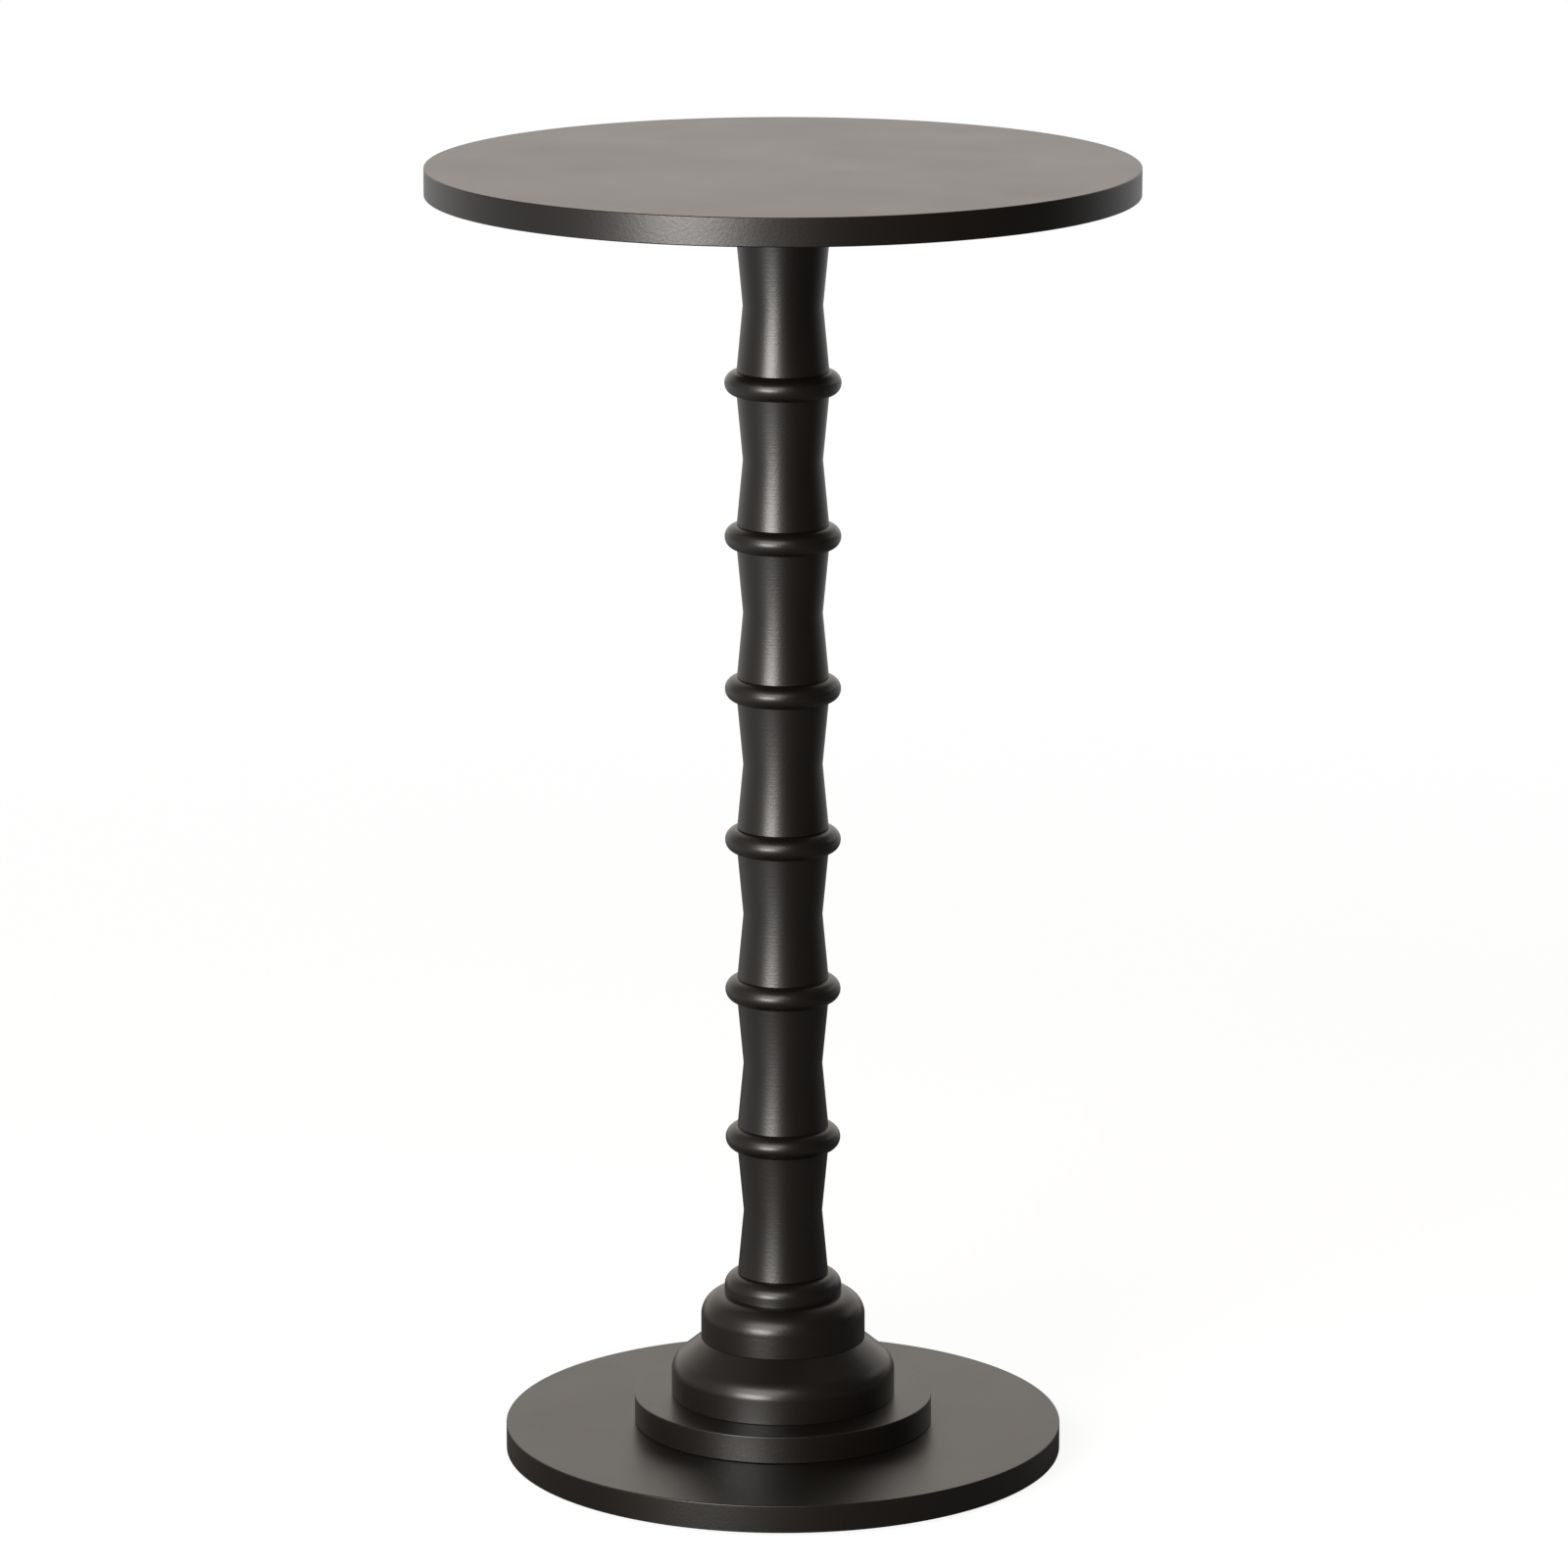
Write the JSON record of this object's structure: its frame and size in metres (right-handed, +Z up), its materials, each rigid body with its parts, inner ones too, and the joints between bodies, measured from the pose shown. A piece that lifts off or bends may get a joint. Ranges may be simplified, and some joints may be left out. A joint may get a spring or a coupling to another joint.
{
  "type": "wine table",
  "caption": "Round pedestal side table: a thin disc top on a turned column with bamboo-like beads, a stepped collar, a small plinth and a round base, in satin black paint.",
  "frame": {"origin": "on the floor, at the centre of the felt pads, under the middle of the column", "axes": "+Z up along the column, towards the table top"},
  "size_m": [0.35, 0.35, 0.6547],
  "materials": {
    "painted_board": "satin black paint over fibreboard, very fine texture",
    "painted_turning": "satin black paint over turned wood",
    "coated_plate": "matt black powder coat",
    "zinc_steel": "bright zinc plate",
    "felt": "dense dark felt"
  },
  "bodies": {
    "root": {"table_top": "painted_board", "plinth_disc": "painted_board", "base_disc": "painted_board", "upper_column": "painted_turning", "lower_column": "painted_turning", "bead_collar": "painted_turning", "flared_collar": "painted_turning", "top_mounting_plate": "coated_plate", "top_plate_nut": "zinc_steel", "top_plate_screws": "zinc_steel", "top_hanger_bolt": "zinc_steel", "upper_column_insert": "zinc_steel", "column_hanger_bolt": "zinc_steel", "lower_column_insert": "zinc_steel", "base_bolt": "zinc_steel", "base_lock_washer": "zinc_steel", "base_washer": "zinc_steel", "base_screws": "zinc_steel", "floor_pads": "felt"}
  },
  "joints": []
}
